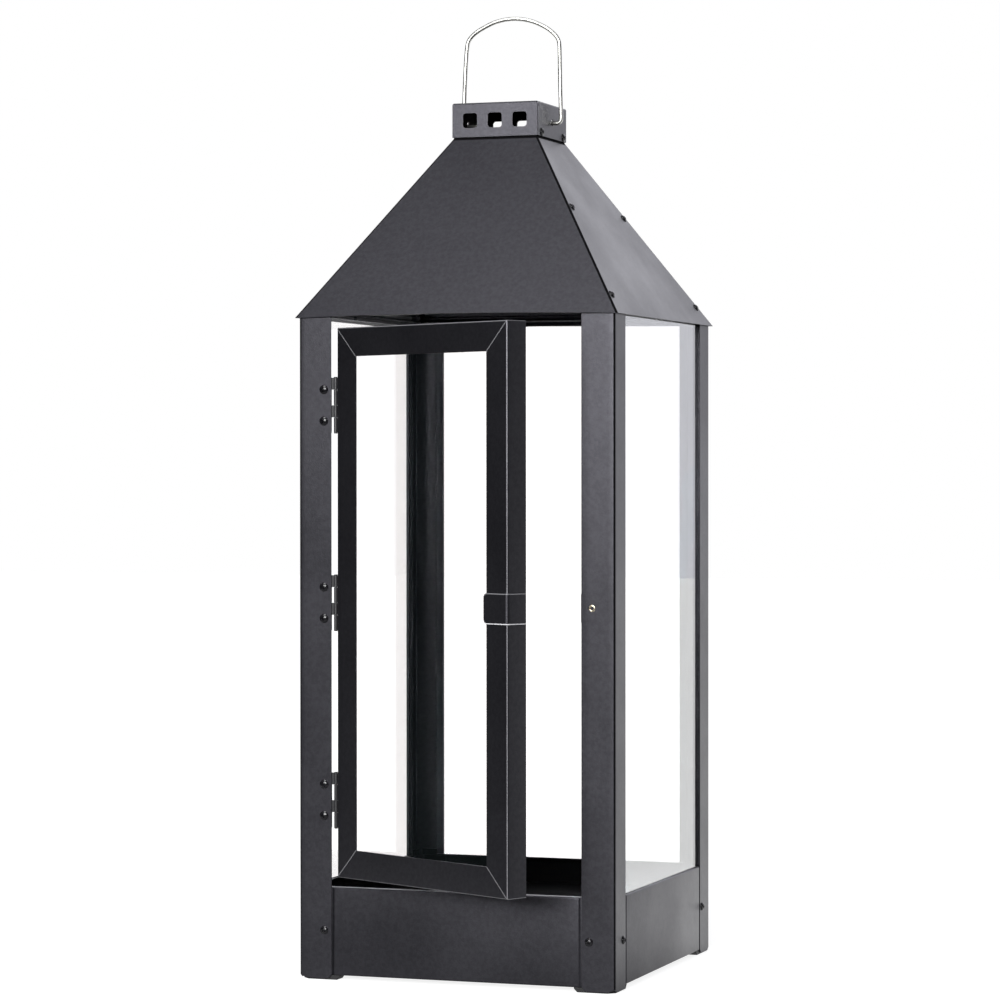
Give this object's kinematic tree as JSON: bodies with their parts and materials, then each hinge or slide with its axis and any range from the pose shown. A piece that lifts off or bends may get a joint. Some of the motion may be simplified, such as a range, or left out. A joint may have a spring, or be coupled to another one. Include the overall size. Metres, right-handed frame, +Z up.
{
  "type": "lantern floor lamp",
  "caption": "Square sheet-metal lantern with fixed panes, a hinged glass door with a magnet catch, a hipped roof, a vented chimney box and a wire carrying handle.",
  "frame": {"origin": "on the floor, in the middle between the four feet", "axes": "+Z up, -Y towards the door side, +X to the right when looking at the door"},
  "size_m": [0.2452, 0.3287, 0.7067],
  "materials": {
    "powder_coat": "black powder coat with a fine matt texture",
    "clear_glass": "clear float glass",
    "plated_steel": "black semi-gloss lacquer on thin steel",
    "stainless_wire": "bright drawn stainless wire",
    "nickel_rivet": "nickel-plated brass",
    "magnet": "dark sintered magnet",
    "black_plastic": "black moulded plastic"
  },
  "bodies": {
    "lantern": {"post_front_left": "powder_coat", "post_front_right": "powder_coat", "post_rear_left": "powder_coat", "post_rear_right": "powder_coat", "skirt_front": "powder_coat", "skirt_right": "powder_coat", "skirt_rear": "powder_coat", "skirt_left": "powder_coat", "foot_front_left": "black_plastic", "foot_front_right": "black_plastic", "foot_rear_left": "black_plastic", "foot_rear_right": "black_plastic", "floor_plate": "powder_coat", "pane_right": "clear_glass", "pane_rear": "clear_glass", "pane_left": "clear_glass", "top_rail_front": "powder_coat", "top_rail_right": "powder_coat", "top_rail_rear": "powder_coat", "top_rail_left": "powder_coat", "top_gussets": "powder_coat", "roof_front": "powder_coat", "roof_right": "powder_coat", "roof_rear": "powder_coat", "roof_left": "powder_coat", "chimney_box": "powder_coat", "skirt_screws": "powder_coat", "roof_screws": "powder_coat", "chimney_screws": "powder_coat", "hinge_screws": "powder_coat", "post_leaf_lower": "plated_steel", "post_leaf_middle": "plated_steel", "post_leaf_upper": "plated_steel", "hinge_pin_lower": "plated_steel", "hinge_pin_middle": "plated_steel", "hinge_pin_upper": "plated_steel", "magnet_housing": "black_plastic", "door_magnet": "magnet", "magnet_rivet": "nickel_rivet"},
    "door": {"door_stile_hinge": "powder_coat", "door_stile_latch": "powder_coat", "door_rail_top": "powder_coat", "door_rail_bottom": "powder_coat", "door_pane": "clear_glass", "door_clips": "plated_steel", "latch_plate": "powder_coat", "door_leaf_lower": "plated_steel", "door_leaf_middle": "plated_steel", "door_leaf_upper": "plated_steel", "door_leaf_rivets": "plated_steel"},
    "handle": {"carry_handle": "stainless_wire"}
  },
  "joints": [
    {"name": "door_swing", "type": "hinge", "parent": "lantern", "child": "door", "pos_m": [-0.0915, -0.1198, 0.2731], "axis": [0, 0, -1], "range_deg": [-28, 137]},
    {"name": "handle_swing", "type": "hinge", "parent": "lantern", "child": "handle", "pos_m": [0, 0, 0.6263], "axis": [1, 0, 0], "range_deg": [-100, 100]}
  ]
}
